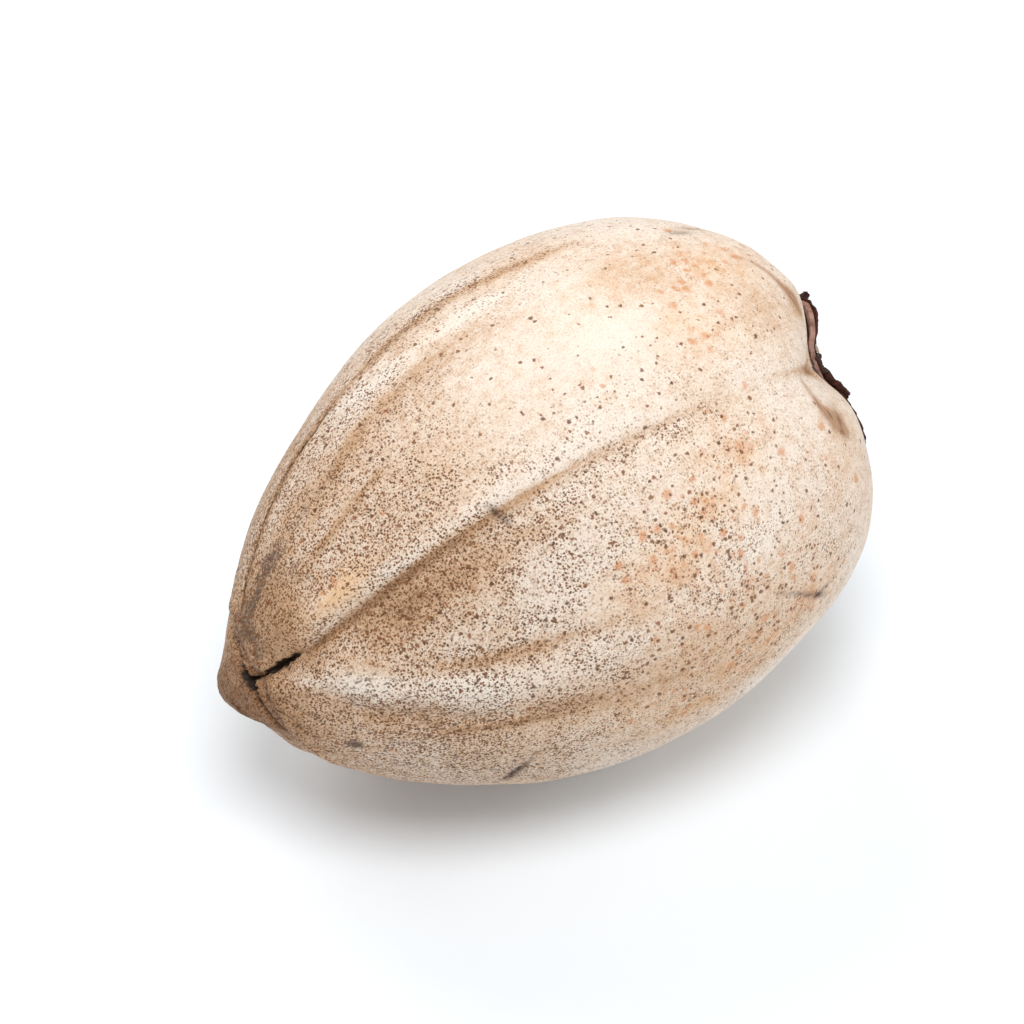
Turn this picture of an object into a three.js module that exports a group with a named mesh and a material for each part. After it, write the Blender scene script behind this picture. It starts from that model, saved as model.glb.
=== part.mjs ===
// A whole dry coconut lying on its side: the three-lobed husk and the dried calyx at its stem end.
// Lengths are in mm and angles in degrees. The tip points to -X and the stem end to +X, a little raised.
// A place on the husk is given by x along the axis from the tip, and phi round it from the top towards -Y.
import * as THREE from 'three';
import { mergeVertices } from 'three/addons/utils/BufferGeometryUtils.js';

// Driving dimensions
const SCALE = 1;
const STEM_RISE = 4.54;
const TURN_X = 125;
const FLAT_SPOT_DEPTH = 2;
const HUSK_ROWS = 64;
const CREASE_COLUMN = 2.2;
const OPEN_COLUMN = 4.4;
const SHARP_SHARE = 0.4;
const CALYX_GAP = 0.6;
const TEPAL_THICKNESS = 1.9;
const TEPAL_EDGE_THICKNESS = 0.9;
const TEPAL_HALF_ANGLE = 41;
const HUSK_COLOUR = 0xdcc3a3;
const CALYX_COLOUR = 0x5b3427;

// Meridian of the husk as [x, radius], from the tip over the girth and the rim into the stem end's hollow
const MERIDIAN = [
  [0, 0], [0.8, 4.2], [3.2, 10], [7, 16.6], [15, 27.9], [26, 39.7], [41, 52.4], [60, 64.6],
  [84, 76.3], [112, 85.6], [143, 89.8], [172, 88], [197, 81.7], [214, 73.4], [226, 64], [232.5, 56],
  [235.6, 49.5], [234.2, 43], [229.6, 35], [225.2, 25], [223.2, 12], [222.8, 0],
];
const RIM_INDEX = 16;

// Ridges (+1) and sutures (-1) in turn round the axis, and how much of the radius they take along it
const LOBE_KEYS = [[-88, -1], [-33, 1], [30, -1], [98, 1], [168, -1], [220, 1], [272, -1]];
const LOBE_SHARE = [
  [0, 0], [15, 0.02], [40, 0.032], [90, 0.018], [150, 0.01], [200, 0.014], [226, 0.016], [236, 0.01],
];

// Paths over the husk as [x, phi, rise, half width on the upper side, half width on the lower side]
const CREASE = [
  [7, 17, -1, 2.2, 2.2], [9, 25, -3.2, 2.4, 2.6], [13, 27.5, -4.2, 2.6, 4], [20, 29.5, -4.6, 3.4, 8],
  [32, 30, -4.4, 4.5, 12], [51, 31, -3.6, 5, 14], [68, 31.5, -2.8, 5, 14], [86, 31.5, -2.1, 5, 14],
  [107, 32, -1.6, 5, 14], [130, 32.5, -1.2, 5, 14], [160, 34.5, -0.9, 6, 12], [180, 36.5, -1, 8, 12],
  [196, 38.5, -2, 10, 12], [206, 40, -3.6, 12, 14], [215, 41, -6.4, 14, 17], [223, 41.5, -9.6, 15, 19],
  [230, 41.5, -12, 15, 19], [235, 41.5, -12.4, 15, 19],
];
const LOWER_SUTURE = [
  [7.5, 20, -1, 2, 2.2], [6.4, 38, -2.2, 2, 3], [6, 62, -3, 2.2, 4], [7.2, 94, -3.8, 2.6, 6],
  [10, 116, -4.6, 3, 8], [16.5, 134, -4.6, 4, 9], [28, 150, -3.4, 5, 9], [55, 160, -2.2, 6, 8],
  [100, 166, -1.4, 7, 7], [160, 166, -1.2, 7, 7], [200, 166, -2.4, 9, 9], [226, 166, -4.5, 10, 10],
  [235, 166, -3, 10, 10],
];
const UPPER_SUTURE = [
  [7.5, 14, -1, 2, 2], [7.4, 2, -2.2, 3, 2], [8.9, -16, -2.8, 3.5, 2.2], [10.8, -33, -3.2, 4, 2.6],
  [15, -50, -3.4, 5, 3], [28, -68, -3, 7, 5], [55, -80, -2, 7, 6], [100, -86, -1.4, 7, 7],
  [160, -88, -1.2, 7, 7], [200, -88, -2.4, 9, 9], [226, -88, -4.5, 10, 10], [235, -88, -3, 10, 10],
];
const LOWER_CREST = [
  [11, 42, 0.2, 4, 4], [20, 47, 1.2, 6, 6], [29, 57, 1.8, 8, 7], [45, 67, 1.8, 9, 6],
  [64, 71.5, 1.5, 9, 6], [84, 73.5, 1, 9, 7], [112, 75, 0.4, 9, 8], [140, 76, 0, 9, 9],
];
const BAND_UNDER_CREST = [
  [20, 64, -0.1, 4, 4], [31, 73, -0.9, 4, 5], [48, 80, -1.1, 4, 6], [67, 84, -0.9, 4, 6],
  [98, 86, -0.4, 5, 6], [125, 87, 0, 5, 5],
];
const FINE_VALLEY = [
  [46, 57, 0, 3, 4], [55, 61, -0.6, 3, 4], [73, 63.5, -0.6, 3, 4], [92, 65, -0.5, 3, 4], [112, 67, 0, 3, 4],
];
const UPPER_RIDGE = [
  [14, -27.5, 0.1, 6, 6], [25, -34.5, 0.3, 8, 8], [50, -36, 0.4, 9, 9], [110, -32, 0.4, 9, 9],
  [135, -29, 0.5, 9, 9], [162, -21.5, 0.6, 9, 9], [185, -19, 0.7, 9, 9], [206, -18, 0.6, 9, 9],
  [222, -18, 0, 9, 9],
];
const INNER_RIDGE = [
  [40, -33, 0, 4, 4], [72, -31, 0.6, 5, 4], [105, -25, 0.7, 5, 4], [127, -18, 0.6, 5, 4], [150, -12, 0, 5, 5],
];
const FACE_VALLEY = [
  [40, -6, 0, 6, 6], [56, -10, -0.6, 6, 6], [90, -12.5, -0.8, 6, 7], [117, -12.5, -0.5, 6, 7],
  [140, -8, 0, 6, 6],
];
const FAR_RIDGE = [
  [12, 206, 0.3, 10, 10], [30, 212, 1, 12, 12], [70, 218, 1.4, 14, 14], [120, 220, 1.2, 14, 14],
  [170, 220, 1, 14, 14], [210, 220, 0.4, 12, 12],
];
const SOFT_PATHS = [
  LOWER_CREST, BAND_UNDER_CREST, FINE_VALLEY, UPPER_RIDGE, INNER_RIDGE, FACE_VALLEY, FAR_RIDGE,
];

// Height of the lip along the upper side of the crease, and of the lobes' edges over the tip knob
const LIP_HEIGHT = [[10, 0], [20, 1.2], [50, 1.5], [110, 0.9], [180, 0.5], [200, 0.3], [210, 0]];
const EDGE_HEIGHT = [[3, 1], [8, 1.2], [30, 0.6], [60, 0]];

// Mounds and hollows as [x, phi, rise, radius]: the pit where the cracks meet, the tip knob, the belly and
// the shoulders
const MOUNDS = [
  [7.4, 19, -2, 3.4], [4.5, -94, 3, 8], [4, -146, 1.8, 7], [5, 165, -4.5, 11],
  [15, -42, 1.3, 9], [66, -55, -1.1, 38], [75, 127, 1.2, 34],
  [105, 124, 0.6, 30], [180, 117, -1.6, 26], [230, 76, -1.6, 15], [230, -2, 2.2, 18], [214, 10, 0.8, 16],
];

// How far the tepals' ends stand off the husk, over phi
const TEPAL_LIFT = [
  [0, 0.9], [10, 3.2], [20, 4.4], [31, 3.4], [41, 0.2], [75, 0], [140, 0.8], [220, 1.2], [300, 0.8],
  [335, 0.2], [360, 0.9],
];

// Tepals as [middle phi, reach as a share of the way from the hollow's middle to the rim, phase of their
// uneven end]
const OUTER_TEPALS = [[18, 0.97, 0.4], [140, 0.96, 2.1], [262, 0.95, 3.9]];
const INNER_TEPALS = [[80, 0.94, 1.3], [200, 0.92, 5.2], [322, 0.93, 2.8]];
const LAYER_STEP = 1.4;
const GROOVE_SAG = 5.5;

// Height of the receptacle over its radius, with the scar of the stalk sunk into its middle
const RECEPTACLE = [[0, 4.4], [3.5, 4.2], [6.5, 4.8], [7.5, 6.2], [10.5, 5.6], [14.5, 3.4], [17, 0]];

// Stations of the calyx as shares of the way from its middle to its edge
const CALYX_UNDERSIDE = [0, 0.15, 0.3, 0.45, 0.6, 0.7, 0.8, 0.88, 0.95, 1];
const CALYX_UPPER_SIDE = [
  1, 0.97, 0.92, 0.86, 0.78, 0.7, 0.6, 0.5, 0.42, 0.35, 0.3, 0.25, 0.2, 0.155, 0.13, 0.11, 0.07, 0,
];
const CALYX_COLUMNS = 96;

const meridianCurve = new THREE.SplineCurve(MERIDIAN.map(([x, radius]) => new THREE.Vector2(x, radius)));
const rimT = RIM_INDEX / (MERIDIAN.length - 1);

function ease(value, from, to) {
  const share = THREE.MathUtils.clamp((value - from) / (to - from), 0, 1);
  return share * share * (3 - 2 * share);
}

function readTable(table, value) {
  if (value <= table[0][0]) return table[0][1];
  for (let i = 1; i < table.length; i += 1) {
    const [fromX, fromY] = table[i - 1];
    const [toX, toY] = table[i];
    if (value <= toX) return fromY + ((toY - fromY) * (value - fromX)) / (toX - fromX);
  }
  return table[table.length - 1][1];
}

// Radius of the outer meridian at x, read from closely spaced points of the curve
const outerMeridian = Array.from({ length: 1200 }, (_, i) => meridianCurve.getPoint((rimT * i) / 1199));
const outerTable = outerMeridian.map((point) => [point.x, point.y]);

function around(x, radius, phi) {
  const angle = THREE.MathUtils.degToRad(phi);
  return new THREE.Vector3(x, -radius * Math.sin(angle), radius * Math.cos(angle));
}

function placeOn(t, phi) {
  const step = 0.001;
  const point = meridianCurve.getPoint(t);
  const ahead = meridianCurve.getPoint(Math.min(t + step, 1));
  const behind = meridianCurve.getPoint(Math.max(t - step, 0));
  const slope = ahead.sub(behind).normalize();
  if (t === 0) slope.set(0, 1);
  if (t === 1) slope.set(0, -1);
  return {
    t,
    phi,
    x: point.x,
    radius: point.y,
    at: around(point.x, point.y, phi),
    out: around(-slope.y, slope.x, phi),
  };
}

// Ridges and sutures round the axis
function lobeWave(phi) {
  const turned = THREE.MathUtils.euclideanModulo(phi + 88, 360) - 88;
  for (let i = 1; i < LOBE_KEYS.length; i += 1) {
    const [from, sign] = LOBE_KEYS[i - 1];
    const to = LOBE_KEYS[i][0];
    if (turned <= to) return sign * Math.cos((Math.PI * (turned - from)) / (to - from));
  }
  return -1;
}

// Stations of a path, four to each of its stretches
function pathStations(path) {
  const stations = [];
  const perStretch = 4;
  for (let i = 0; i < (path.length - 1) * perStretch + 1; i += 1) {
    const low = Math.min(Math.floor(i / perStretch), path.length - 2);
    const share = i / perStretch - low;
    const next = path[low + 1];
    const [x, phi, rise, upper, lower] = path[low].map((value, k) => value + (next[k] - value) * share);
    stations.push({ point: around(x, readTable(outerTable, x), phi), rise, upper, lower });
  }
  return stations;
}

// Nearest point of a path: its distance, its rise there, the side, and the half width on that side
function nearestOnPath(stations, place) {
  const nearest = { distance: Infinity };
  const along = new THREE.Vector3();
  const off = new THREE.Vector3();
  for (let i = 0; i < stations.length - 1; i += 1) {
    const from = stations[i];
    const to = stations[i + 1];
    along.subVectors(to.point, from.point);
    off.subVectors(place.at, from.point);
    const share = THREE.MathUtils.clamp(off.dot(along) / along.lengthSq(), 0, 1);
    off.addScaledVector(along, -share);
    const distance = off.length();
    if (distance < nearest.distance) {
      const onUpper = new THREE.Vector3().crossVectors(along, off).dot(place.out) > 0;
      const widthKey = onUpper ? 'upper' : 'lower';
      nearest.distance = distance;
      nearest.onUpper = onUpper;
      nearest.rise = from.rise + (to.rise - from.rise) * share;
      nearest.width = from[widthKey] + (to[widthKey] - from[widthKey]) * share;
    }
  }
  return nearest;
}

const bell = (value) => Math.exp(-value * value);

function softRise(stations, place) {
  const near = nearestOnPath(stations, place);
  return near.rise * bell(near.distance / near.width);
}

// A suture is soft at its sides and, as far as its sharp share goes, pointed at its bottom
function sutureRise(near, sharpShare) {
  const pointed = Math.exp(-near.distance / (0.42 * near.width));
  return near.rise * (sharpShare * pointed + (1 - sharpShare) * bell(near.distance / near.width));
}

const creaseStations = pathStations(CREASE);
const lowerSutureStations = pathStations(LOWER_SUTURE);
const upperSutureStations = pathStations(UPPER_SUTURE);
const softStations = SOFT_PATHS.map(pathStations);
const moundCentres = MOUNDS.map(([x, phi, rise, radius]) => (
  { point: around(x, readTable(outerTable, x), phi), rise, radius }
));

function creaseRise(place) {
  const near = nearestOnPath(creaseStations, place);
  const lip = near.onUpper ? readTable(LIP_HEIGHT, place.x) * bell((near.distance - 8) / 6) : 0;
  return sutureRise(near, SHARP_SHARE) + lip;
}

// The two front lobes end in a thick edge over the suture, the far lobe dips under it
function tipSutureRise(stations, place, frontIsUpper) {
  const near = nearestOnPath(stations, place);
  const onFront = near.onUpper === frontIsUpper;
  const edge = onFront ? readTable(EDGE_HEIGHT, place.x) * bell((near.distance - 4) / 3) : 0;
  return sutureRise(near, SHARP_SHARE * (1 - ease(place.x, 12, 36))) + edge;
}

// How far the husk stands out from its meridian at a place
function huskRise(place) {
  let rise = place.radius * readTable(LOBE_SHARE, place.x) * lobeWave(place.phi) * ease(place.x, 0, 10);
  rise += creaseRise(place);
  rise += tipSutureRise(lowerSutureStations, place, true);
  rise += tipSutureRise(upperSutureStations, place, false);
  for (const stations of softStations) rise += softRise(stations, place);
  for (const { point, rise: height, radius } of moundCentres) {
    rise += height * bell(place.at.distanceTo(point) / radius);
  }
  const intoHollow = place.t > rimT ? ease(place.radius, 14, 34) : 1;
  return rise * intoHollow;
}

// Angles of the husk's columns, closer together along the crease
function columnAngles() {
  const angles = [];
  const addEvenly = (from, to, spacing) => {
    const count = Math.round((to - from) / spacing);
    for (let i = 0; i < count; i += 1) angles.push(from + ((to - from) * i) / count);
  };
  addEvenly(10, 52, CREASE_COLUMN);
  addEvenly(52, 370, OPEN_COLUMN);
  return angles;
}

// Turns the fruit so that its stem end lies a little higher than its tip
function tilt(point) {
  const angle = THREE.MathUtils.degToRad(STEM_RISE);
  const x = point.x - TURN_X;
  return point.set(
    (x * Math.cos(angle) - point.z * Math.sin(angle)) * SCALE,
    point.y * SCALE,
    (x * Math.sin(angle) + point.z * Math.cos(angle)) * SCALE,
  );
}

// One closed body with shared corners, without the empty triangles at its poles
function closedBody(geometry) {
  geometry.deleteAttribute('normal');
  geometry.deleteAttribute('uv');
  const merged = mergeVertices(geometry, 1e-4);
  const corners = merged.index.array;
  const kept = [];
  for (let i = 0; i < corners.length; i += 3) {
    const [a, b, c] = [corners[i], corners[i + 1], corners[i + 2]];
    if (a !== b && b !== c && c !== a) kept.push(a, b, c);
  }
  merged.setIndex(kept);
  return merged;
}

function signedVolume(geometry) {
  const position = geometry.attributes.position;
  const corners = geometry.index.array;
  const [a, b, c] = [new THREE.Vector3(), new THREE.Vector3(), new THREE.Vector3()];
  let volume = 0;
  for (let i = 0; i < corners.length; i += 3) {
    a.fromBufferAttribute(position, corners[i]);
    b.fromBufferAttribute(position, corners[i + 1]);
    c.fromBufferAttribute(position, corners[i + 2]);
    volume += a.dot(b.cross(c)) / 6;
  }
  return volume;
}

function facingOut(geometry) {
  if (signedVolume(geometry) > 0) return geometry;
  const corners = Array.from(geometry.index.array);
  for (let i = 0; i < corners.length; i += 3) [corners[i], corners[i + 1]] = [corners[i + 1], corners[i]];
  geometry.setIndex(corners);
  return geometry;
}

// Husk: the meridian turned about the axis, then raised by the folds of its surface
function buildHusk() {
  const angles = columnAngles();
  const rows = Array.from({ length: HUSK_ROWS }, (_, i) => i / (HUSK_ROWS - 1));
  const profile = rows.map((t) => {
    const point = meridianCurve.getPoint(t);
    return new THREE.Vector2(point.y, point.x);
  });
  const geometry = new THREE.LatheGeometry(profile, angles.length);
  const position = geometry.attributes.position;
  for (let i = 0; i < position.count; i += 1) {
    const column = Math.floor(i / HUSK_ROWS) % angles.length;
    const place = placeOn(rows[i % HUSK_ROWS], angles[column]);
    const point = tilt(place.at.addScaledVector(place.out, huskRise(place)));
    position.setXYZ(i, point.x, point.y, point.z);
  }
  return facingOut(closedBody(flattenUnderside(geometry)));
}

// The small flat spot that the fruit rests on
function flattenUnderside(geometry) {
  geometry.computeBoundingBox();
  const floor = geometry.boundingBox.min.z + FLAT_SPOT_DEPTH * SCALE;
  const position = geometry.attributes.position;
  for (let i = 0; i < position.count; i += 1) position.setZ(i, Math.max(position.getZ(i), floor));
  return geometry;
}

// Where the calyx lies: over the hollow, sagging a little into its grooves
function overHollow(share, phi, height) {
  const place = placeOn(1 - share * (1 - rimT), phi);
  const rest = Math.max(huskRise(place), -GROOVE_SAG) + CALYX_GAP;
  return tilt(place.at.addScaledVector(place.out, rest + height));
}

// How far a tepal reaches at an angle: a rounded, uneven end
function tepalEnd([middle, reach, phase], phi) {
  const aside = THREE.MathUtils.euclideanModulo(phi - middle + 180, 360) - 180;
  const across = aside / TEPAL_HALF_ANGLE;
  if (Math.abs(across) > 1) return { across, end: 0 };
  const uneven = 0.02 * Math.sin(across * 9 + phase) + 0.006 * Math.sin(across * 21 + phase * 3);
  return { across, end: reach * (1 - 0.2 * Math.abs(across) ** 3) + uneven };
}

function longestEnd(phi) {
  return Math.max(...[...OUTER_TEPALS, ...INNER_TEPALS].map((row) => tepalEnd(row, phi).end));
}

// Thickness of the calyx: the outer tepals, the inner ones lying on them, and the receptacle in the middle
function calyxThickness(share, end, phi) {
  const along = share / end;
  let thickness = TEPAL_THICKNESS + (TEPAL_EDGE_THICKNESS - TEPAL_THICKNESS) * along ** 4;
  for (const row of INNER_TEPALS) {
    const inner = tepalEnd(row, phi);
    const sideways = 1 - ease(Math.abs(inner.across), 0.9, 1);
    const within = sideways * (1 - ease(share, inner.end - 0.1, inner.end - 0.02));
    thickness += LAYER_STEP * within;
  }
  const radius = meridianCurve.getPoint(1 - share * (1 - rimT)).y;
  return Math.max(thickness, readTable(RECEPTACLE, radius));
}

// Calyx: its underside from the middle out to the tepals' ends, then its upper side back to the middle
function buildCalyx() {
  const stations = [
    ...CALYX_UNDERSIDE.map((along) => [along, 0]),
    ...CALYX_UPPER_SIDE.map((along) => [along, 1]),
  ];
  const profile = stations.map(([along, side]) => new THREE.Vector2(along, side));
  const geometry = new THREE.LatheGeometry(profile, CALYX_COLUMNS);
  const position = geometry.attributes.position;
  for (let i = 0; i < position.count; i += 1) {
    const [along, side] = stations[i % stations.length];
    const phi = (360 * (Math.floor(i / stations.length) % CALYX_COLUMNS)) / CALYX_COLUMNS;
    const end = longestEnd(phi);
    const share = along * (1 + (end - 1) * ease(along, 0.3, 0.7));
    const lift = readTable(TEPAL_LIFT, phi) * along ** 4;
    const point = overHollow(share, phi, lift + side * calyxThickness(share, end, phi));
    position.setXYZ(i, point.x, point.y, point.z);
  }
  return facingOut(closedBody(geometry));
}

function named(name, geometry, colour) {
  geometry.computeVertexNormals();
  const material = new THREE.MeshStandardMaterial({ color: colour, roughness: 0.8, metalness: 0 });
  const mesh = new THREE.Mesh(geometry, material);
  mesh.name = name;
  return mesh;
}

// Puts the origin at the middle of the underside
function settle(meshes) {
  const box = new THREE.Box3();
  for (const mesh of meshes) {
    const position = mesh.geometry.attributes.position;
    box.union(new THREE.Box3().setFromBufferAttribute(position));
  }
  const middle = box.getCenter(new THREE.Vector3());
  for (const mesh of meshes) mesh.geometry.translate(-middle.x, -middle.y, -box.min.z);
}

const husk = named('husk', buildHusk(), HUSK_COLOUR);
const calyx = named('calyx', buildCalyx(), CALYX_COLOUR);
settle([husk, calyx]);

const coconut = new THREE.Group();
coconut.name = 'coconut';
coconut.add(husk, calyx);

export default coconut;
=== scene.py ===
# A whole dry coconut in its husk, lying on its side on a pale floor.
# A place on the husk is x mm along its axis from the tip, and phi degrees round it from the top towards -Y.
import math

import bpy
import numpy as np
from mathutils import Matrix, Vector, noise


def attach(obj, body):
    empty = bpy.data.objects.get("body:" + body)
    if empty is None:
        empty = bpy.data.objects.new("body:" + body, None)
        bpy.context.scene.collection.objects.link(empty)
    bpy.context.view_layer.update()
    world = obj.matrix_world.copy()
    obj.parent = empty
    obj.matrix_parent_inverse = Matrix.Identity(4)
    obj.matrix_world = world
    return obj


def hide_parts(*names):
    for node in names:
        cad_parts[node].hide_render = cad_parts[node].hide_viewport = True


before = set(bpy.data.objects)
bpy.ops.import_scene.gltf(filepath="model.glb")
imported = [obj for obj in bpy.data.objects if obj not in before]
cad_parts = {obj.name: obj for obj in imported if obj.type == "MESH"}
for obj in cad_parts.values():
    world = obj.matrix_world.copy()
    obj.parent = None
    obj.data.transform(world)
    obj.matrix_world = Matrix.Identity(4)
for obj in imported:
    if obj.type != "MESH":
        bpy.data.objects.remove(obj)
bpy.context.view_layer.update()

millimetre = 0.001

# How the whole fruit lies: its stem end is raised, and its middle is moved to the middle of the frame
lying = {
    "stemRise": 4.54,
    "turnX": 125,
    "settle": [3.845, 1.109, 85.3625],
}


# Small tools

def ease(value, low, high):
    share = np.clip((value - low) / (high - low), 0, 1)
    return share * share * (3 - 2 * share)


def bell(value):
    return np.exp(-value * value)


def readTable(table, value):
    xs, ys = zip(*table)
    return np.interp(value, xs, ys)


def splineThrough(points, share):
    points = np.asarray(points, float)
    place = np.clip(share, 0, 1) * (len(points) - 1)
    low = np.minimum(place.astype(int), len(points) - 2)
    part = (place - low)[:, None]
    before = points[np.maximum(low - 1, 0)]
    start, end = points[low], points[low + 1]
    after = points[np.minimum(low + 2, len(points) - 1)]
    leaving, arriving = (end - before) / 2, (after - start) / 2
    cubic = 2 * start - 2 * end + leaving + arriving
    square = -3 * start + 3 * end - 2 * leaving - arriving
    return ((cubic * part + square) * part + leaving) * part + start


def around(x, radius, phi):
    turn = np.radians(phi)
    x, radius, turn = np.broadcast_arrays(x, radius, turn)
    return np.stack([x, -radius * np.sin(turn), radius * np.cos(turn)], -1)


def deselectAll():
    bpy.ops.object.select_all(action="DESELECT")


def activate(piece):
    deselectAll()
    piece.select_set(True)
    bpy.context.view_layer.objects.active = piece


def readPoints(mesh):
    flat = np.empty(len(mesh.vertices) * 3, np.float32)
    mesh.vertices.foreach_get("co", flat)
    return flat.reshape(-1, 3).astype(float)


def writePoints(mesh, points):
    mesh.vertices.foreach_set("co", points.astype(np.float32).ravel())
    mesh.update()


def paintValues(mesh, name, values):
    kind = "FLOAT" if values.ndim == 1 else "FLOAT_VECTOR"
    field = "value" if values.ndim == 1 else "vector"
    layer = mesh.attributes.new(name, kind, "POINT")
    layer.data.foreach_set(field, values.astype(np.float32).ravel())


def softNoise(points, scale, seed):
    shift = Vector((seed * 7.3, seed * 3.1, seed * 5.7))
    return np.array([noise.noise(Vector(point) / scale + shift) for point in points])


def pointOutward(piece):
    activate(piece)
    bpy.ops.object.mode_set(mode="EDIT")
    bpy.ops.mesh.select_all(action="SELECT")
    bpy.ops.mesh.normals_make_consistent(inside=False)
    bpy.ops.object.mode_set(mode="OBJECT")
    bpy.ops.object.shade_smooth()


# Node tools

def colour(code):
    parts = [int(code[i:i + 2], 16) / 255 for i in (0, 2, 4)]
    return (*[part / 12.92 if part <= 0.04045 else ((part + 0.055) / 1.055) ** 2.4 for part in parts], 1)


def feed(tree, socket, value):
    if isinstance(value, bpy.types.NodeSocket):
        tree.links.new(value, socket)
    else:
        socket.default_value = value


def addNode(tree, kind, settings=(), inputs=()):
    node = tree.nodes.new(kind)
    for key, value in dict(settings).items():
        setattr(node, key, value)
    for key, value in dict(inputs).items():
        feed(tree, node.inputs[key], value)
    return node


def calc(tree, operation, first, second=0.0, clamp=False):
    settings = {"operation": operation, "use_clamp": clamp}
    return addNode(tree, "ShaderNodeMath", settings, {0: first, 1: second}).outputs[0]


def smooth(tree, value, low, high, outLow=0.0, outHigh=1.0):
    inputs = {"Value": value, "From Min": low, "From Max": high, "To Min": outLow, "To Max": outHigh}
    return addNode(tree, "ShaderNodeMapRange", {"interpolation_type": "SMOOTHSTEP"}, inputs).outputs[0]


def blend(tree, share, first, second, kind="MIX"):
    settings = {"data_type": "RGBA", "blend_type": kind}
    return addNode(tree, "ShaderNodeMix", settings, {0: share, 6: first, 7: second}).outputs[2]


def painted(tree, name, output="Fac"):
    return addNode(tree, "ShaderNodeAttribute", {"attribute_name": name}).outputs[output]


def cloud(tree, place, scale, detail=3.0, roughness=0.55):
    inputs = {"Vector": place, "Scale": scale, "Detail": detail, "Roughness": roughness}
    return addNode(tree, "ShaderNodeTexNoise", (), inputs).outputs["Fac"]


def shaken(tree, place, scale, amount):
    inputs = {"Vector": place, "Scale": scale, "Detail": 2.0}
    stir = addNode(tree, "ShaderNodeTexNoise", (), inputs).outputs["Color"]
    inputs = {0: stir, 1: (amount, amount, amount), 2: place}
    return addNode(tree, "ShaderNodeVectorMath", {"operation": "MULTIPLY_ADD"}, inputs).outputs[0]


def scaled(tree, vector, factors):
    settings = {"operation": "MULTIPLY"}
    return addNode(tree, "ShaderNodeVectorMath", settings, {0: vector, 1: factors}).outputs[0]


def speckles(tree, place, kind, density):
    # density says what share of the cells holds a spot
    spacing, smallest, largest, core, shakeScale, shakeBy = speckleKinds[kind]
    if shakeBy:
        place = shaken(tree, place, shakeScale, shakeBy)
    inputs = {"Vector": place, "Scale": 1 / (spacing * millimetre)}
    cells = addNode(tree, "ShaderNodeTexVoronoi", (), inputs)
    chances = addNode(tree, "ShaderNodeSeparateColor", (), {"Color": cells.outputs["Color"]})
    reach = smooth(tree, chances.outputs["Green"], 0.0, 1.0, smallest / spacing / 2, largest / spacing / 2)
    inside = calc(tree, "DIVIDE", cells.outputs["Distance"], reach)
    inside = smooth(tree, inside, core, 1.2, 1.0, 0.0)
    present = calc(tree, "LESS_THAN", chances.outputs["Red"], density)
    return calc(tree, "MULTIPLY", inside, present), chances.outputs["Blue"]


def times(tree, *values):
    result = values[0]
    for value in values[1:]:
        result = calc(tree, "MULTIPLY", result, value)
    return result


def newMaterial(name):
    material = bpy.data.materials.new(name)
    material.use_nodes = True
    tree = material.node_tree
    return material, tree, tree.nodes["Principled BSDF"]


def addBump(tree, shader, height, form):
    inputs = {"Strength": form["bumpStrength"], "Distance": form["bumpDistance"], "Height": height}
    bump = addNode(tree, "ShaderNodeBump", (), inputs)
    tree.links.new(bump.outputs["Normal"], shader.inputs["Normal"])


# The husk's form

huskForm = {
    "meridian": [
        [0, 0], [0.8, 4.2], [3.2, 10], [7, 16.6], [15, 27.9], [26, 39.7], [41, 52.4], [60, 64.6],
        [84, 76.3], [112, 85.6], [143, 89.8], [172, 88], [197, 81.7], [214, 73.4], [226, 64],
        [232.5, 56], [235.6, 49.5], [234.2, 43], [229.6, 35], [225.2, 25], [223.2, 12], [222.8, 0],
    ],
    "rimPoint": 16,
    "lobes": [[-88, -1], [-33, 1], [30, -1], [98, 1], [168, -1], [220, 1], [272, -1]],
    "lobeShare": [
        [0, 0], [15, 0.02], [40, 0.032], [90, 0.018], [150, 0.01], [200, 0.014], [226, 0.016],
        [236, 0.01],
    ],
    "sharpShare": 0.4,
    "sharpReach": 0.42,
    "lip": [[10, 0], [20, 1.2], [50, 1.5], [110, 0.9], [180, 0.5], [200, 0.3], [210, 0]],
    "lipMiddle": 8,
    "lipReach": 6,
    "edge": [[3, 1], [8, 1.2], [30, 0.6], [60, 0]],
    "edgeMiddle": 4,
    "edgeReach": 3,
    "lobesStart": [0, 10],
    "sharpUntil": [12, 36],
    "hollowStart": [14, 34],
}

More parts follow.
